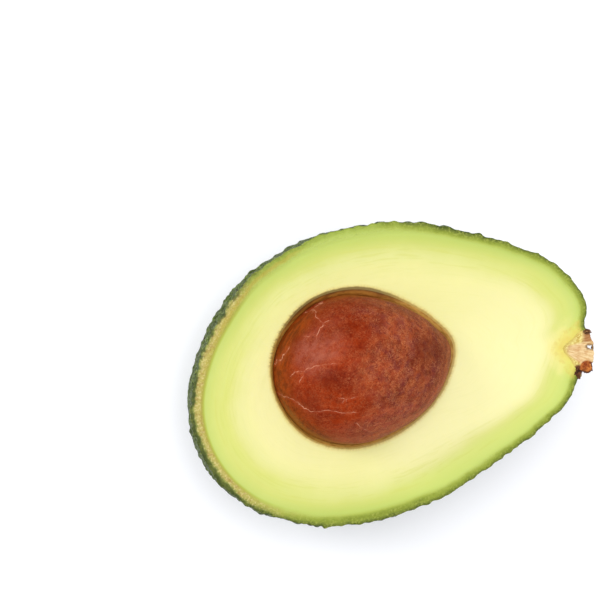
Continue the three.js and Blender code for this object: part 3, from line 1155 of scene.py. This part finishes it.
def seed_threads(p, points, dusty):
    """Fine curly fibres of the dry coat, thickest where it is dusty."""
    wide = p.off(p.noise(points, 0.6, 2.0, 0.6, 2.4), 0.5)
    tight = p.off(p.noise(points, 1.1, 2.0, 0.6, 2.0), 0.47)
    lines = p.calc("MAXIMUM", p.step(wide, 0.026, 0.012), p.step(tight, 0.028, 0.012))
    return p.times(lines, p.mottle(points, 2.0, 0.45, 0.15), p.scaled(dusty, 0.26, 0.2))


def seed_edge(p, points, brush, deep):
    """Browner coat low on the blunt end, and in a thin line all along the rim."""
    streak = p.step(p.noise(brush, 1.2, 4.0, 0.7), 0.35, 0.65)
    brown = p.mix(streak, "#5c2604", "#87390b")
    p.lay(brown, p.stored("margin"), 0.9)
    inset = p.plus(p.stored("inset"), p.wander(points, 0.3, 1.0))
    golden = p.times(p.step(inset, 0.9, 0.1), p.stored("golden"))
    p.lay(p.mix(deep, "#915c20", "#834c12"), golden, 0.6)


def seed_cracks(p, points):
    """Pale broken lines in the coat, each with a faint paler margin."""
    near = p.stored("crack_near")
    across = p.calc("ABSOLUTE", p.stored("crack_across"))
    broken = p.step(p.noise(points, 0.8), 0.38, 0.62, 0.1, 0.9)
    line = p.times(p.step(across, CRACK_WIDTH, CRACK_WIDTH * 0.2), near, broken)
    p.lay("#a04c30", p.step(across, 0.6, 0.1), near, 0.2)
    p.lay("#cf9275", line)
    return line


def stem_wood():
    """Split wood with pale fibres fanning from the root, in rough dark bark."""
    p = Paint("stem_wood")
    points = p.points()
    strand = p.noise(p.stored("fibres", "Vector"), 1.0, 4.0)
    p.base = p.mix(p.step(strand, 0.32, 0.6), "#c3955c", "#e2c898")
    p.lay("#b57c45", p.mottle(points, 1.6, 0.58, 0.1), 0.45)
    grains = p.mix(p.mottle(points, 0.7, 0.5, 0.12), "#bda252", "#e2d688")
    p.lay(grains, p.stored("pith"))
    p.lay(grains, p.step(p.stored("along"), -1.4, -3.4))
    p.lay("#c4ad55", p.stored("border"), 0.8)
    p.lay(p.mix(strand, "#74401a", "#b0703a"), p.stored("outer"), 0.85)
    bark = p.mix(p.step(p.noise(points, 1.1, 5.0, 0.7), 0.35, 0.65), "#1a0d08", "#6c4026")
    p.lay(bark, p.stored("bark"))
    orange = p.mix(p.step(p.noise(points, 0.8, 4.0, 0.7), 0.35, 0.65), "#7c3210", "#c07434")
    p.lay(orange, p.stored("nub"))
    # Painted shade: a dark outline along the nub's far, lower edge.
    p.lay("#2c150c", p.stored("nub_edge"), 0.85)
    # Painted shade: dark brown in and along the split.
    p.lay("#4f2812", p.stored("split"), 0.7)
    p.coat(0.75, 0.2)
    p.relief(p.plus(strand, p.noise(points, 1.6, 5.0)), 0.3, 0.7)
    return p.material


def floor_paint():
    p = Paint("floor_paint")
    p.base = p.mix(p.noise(p.points(), 0.01), "#f0f1f6", "#f3f4f8")
    p.coat(0.9)
    p.shader.inputs["Emission Color"].default_value = (0.95, 0.96, 1.0, 1.0)
    p.shader.inputs["Emission Strength"].default_value = 0.07
    return p.material


# ---- The object --------------------------------------------------------------------

def build_object():
    for piece, node, slot in (
        (make_skin(), "skin", "skin"), (make_flesh(), "flesh", "flesh"),
        (make_seed(), "seed", "seed"), (make_stem(), "stem_stub", "stem"),
    ):
        place(piece)
        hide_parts(node)


# ---- Camera, light and floor -------------------------------------------------------

LENS = 100.0
CAMERA_DISTANCE = 405.0  # from the fruit's centre, along the view
VIEW_LEAN = math.radians(15)  # of the view from straight down, towards the blunt end
VIEW_TURN = math.radians(12)  # of the fruit's axis, anticlockwise in the picture
VIEW_SHIFT = (20.66, -17.5)  # of the fruit's centre in the picture, right and up
FLOOR_SIZE = 6
SKY_STRENGTH = 0.77


def add_camera():
    lean_c, lean_s = math.cos(VIEW_LEAN), math.sin(VIEW_LEAN)
    turn_c, turn_s = math.cos(VIEW_TURN), math.sin(VIEW_TURN)
    right = Vector((lean_c * turn_c, -lean_c * turn_s, lean_s))
    up = Vector((turn_s, turn_c, 0))
    back = Vector((-lean_s * turn_c, lean_s * turn_s, lean_c))
    centre = Vector(FRUIT_CENTRE)
    eye = centre + back * CAMERA_DISTANCE - right * VIEW_SHIFT[0] - up * VIEW_SHIFT[1]
    data = bpy.data.cameras.new("camera")
    data.lens = LENS
    data.clip_start, data.clip_end = 0.01, 10
    camera = bpy.data.objects.new("camera", data)
    bpy.context.scene.collection.objects.link(camera)
    turned = Matrix((right, up, back)).transposed().to_4x4()
    camera.matrix_world = Matrix.Translation(eye * MM) @ turned
    bpy.context.scene.camera = camera
    return right, up, back


def add_soft_light(name, direction, distance, size, power):
    data = bpy.data.lights.new(name, "AREA")
    data.shape = "DISK"
    data.size = size
    data.energy = power
    light = bpy.data.objects.new(name, data)
    bpy.context.scene.collection.objects.link(light)
    direction = direction.normalized()
    light.location = Vector(FRUIT_CENTRE) * MM + direction * distance
    light.rotation_mode = "QUATERNION"
    light.rotation_quaternion = direction.to_track_quat("Z", "Y")


def add_studio(right, up, back):
    floor = start_piece(
        "floor", bpy.ops.mesh.primitive_plane_add, size=FLOOR_SIZE, location=(0, 0, 0)
    )
    paint(floor, [floor_paint()])
    add_soft_light("left_panel", back - right * 1.1 + up * 0.6, 0.8, 0.3, 2.1)
    add_soft_light("front_panel", back + right * 0.04 + up * 0.2, 0.9, 0.75, 5.25)
    world = bpy.data.worlds.new("studio")
    world.use_nodes = True
    sky = world.node_tree.nodes["Background"]
    sky.inputs["Color"].default_value = (1, 1, 1, 1)
    sky.inputs["Strength"].default_value = SKY_STRENGTH
    bpy.context.scene.world = world
    bpy.context.scene.view_settings.view_transform = "Standard"


build_object()
add_studio(*add_camera())
